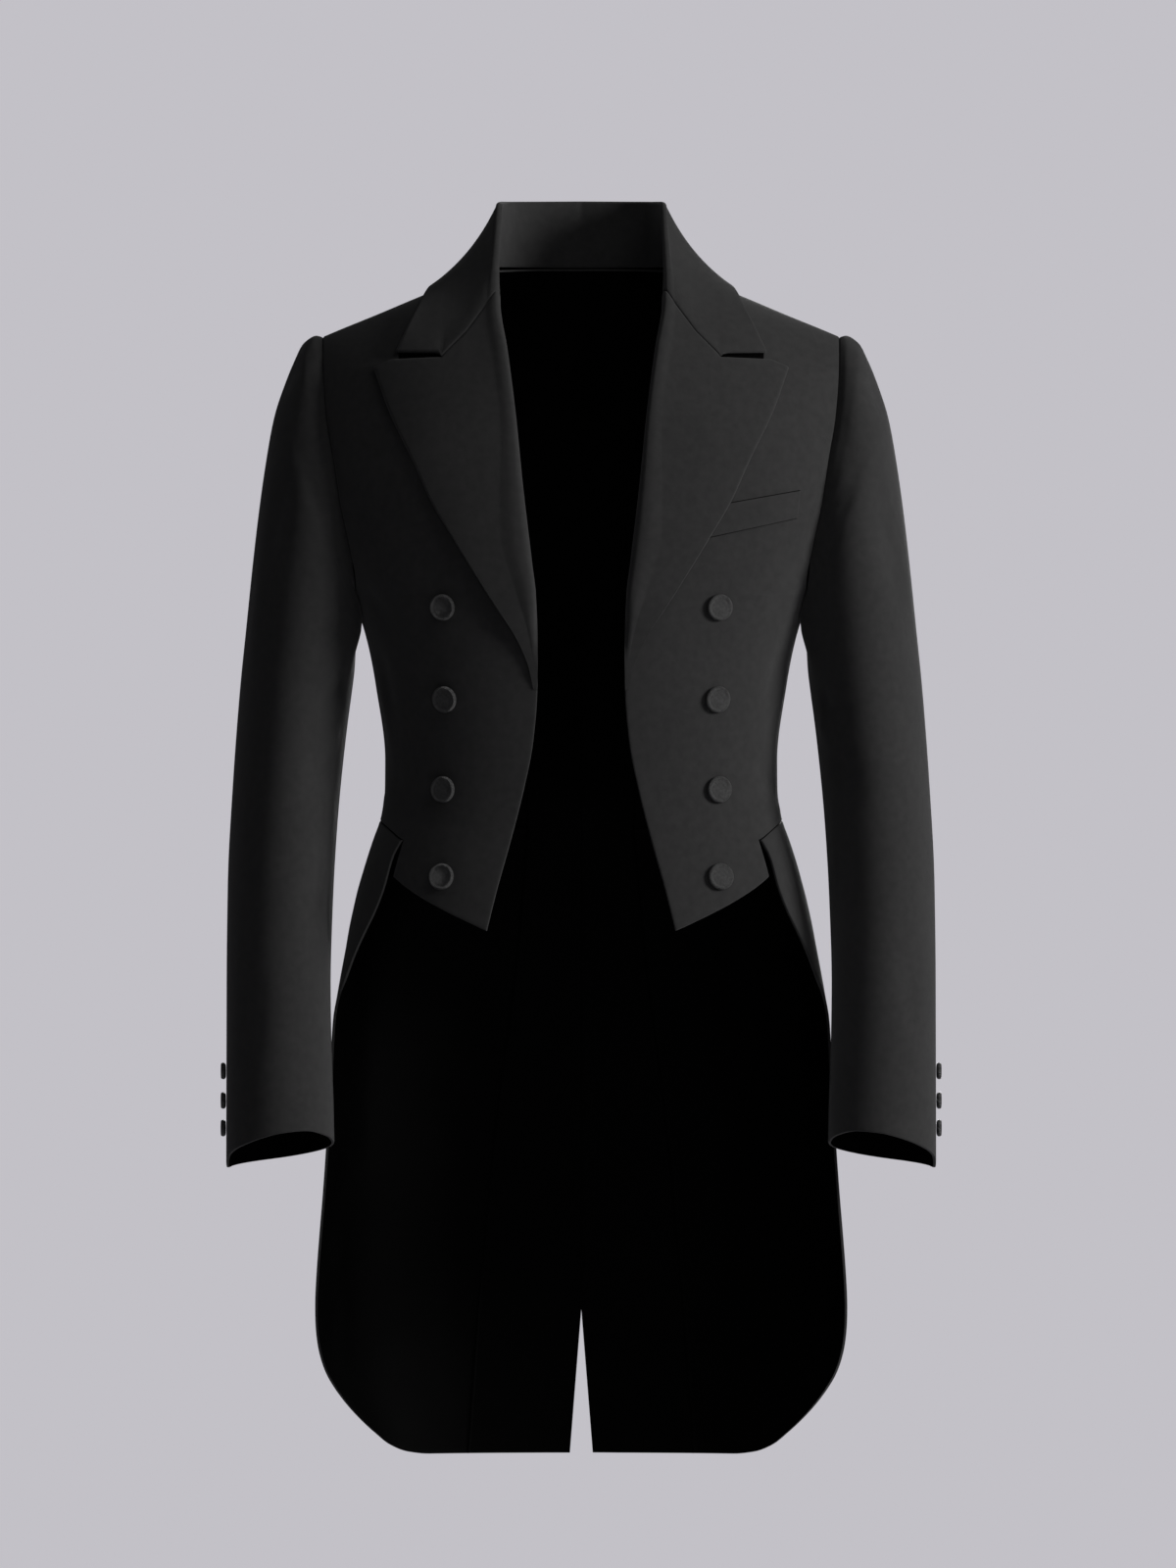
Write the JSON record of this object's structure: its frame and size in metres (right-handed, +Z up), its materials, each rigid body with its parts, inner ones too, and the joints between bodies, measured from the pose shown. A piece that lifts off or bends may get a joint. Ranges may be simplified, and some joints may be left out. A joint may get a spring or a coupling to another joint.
{
  "type": "tailcoat",
  "caption": "Tailcoat with peak lapels, a cut-away waist and long tails: an empty worn garment with a hollow body and sleeves.",
  "frame": {"origin": "middle of the neck opening at the height where the collar meets the shoulders, where the wearer's neck and shoulders hold the coat up", "axes": "+X to the wearer's left, the front faces -Y, +Z up"},
  "size_m": [0.5998, 0.287, 1.057],
  "materials": {
    "wool": "matte near-black wool cloth",
    "button_cover": "cloth-covered button, near-black"
  },
  "bodies": {
    "root": {"front_left": "wool", "front_right": "wool", "side_body_left": "wool", "side_body_right": "wool", "back_left": "wool", "back_right": "wool", "skirt_left": "wool", "skirt_right": "wool", "top_sleeve_left": "wool", "top_sleeve_right": "wool", "under_sleeve_left": "wool", "under_sleeve_right": "wool", "lapel_left": "wool", "lapel_right": "wool", "collar": "wool", "breast_welt": "wool", "front_button_left_1": "button_cover", "front_button_left_2": "button_cover", "front_button_left_3": "button_cover", "front_button_left_4": "button_cover", "front_button_right_1": "button_cover", "front_button_right_2": "button_cover", "front_button_right_3": "button_cover", "front_button_right_4": "button_cover", "cuff_button_left_1": "button_cover", "cuff_button_left_2": "button_cover", "cuff_button_left_3": "button_cover", "cuff_button_right_1": "button_cover", "cuff_button_right_2": "button_cover", "cuff_button_right_3": "button_cover"}
  },
  "joints": []
}
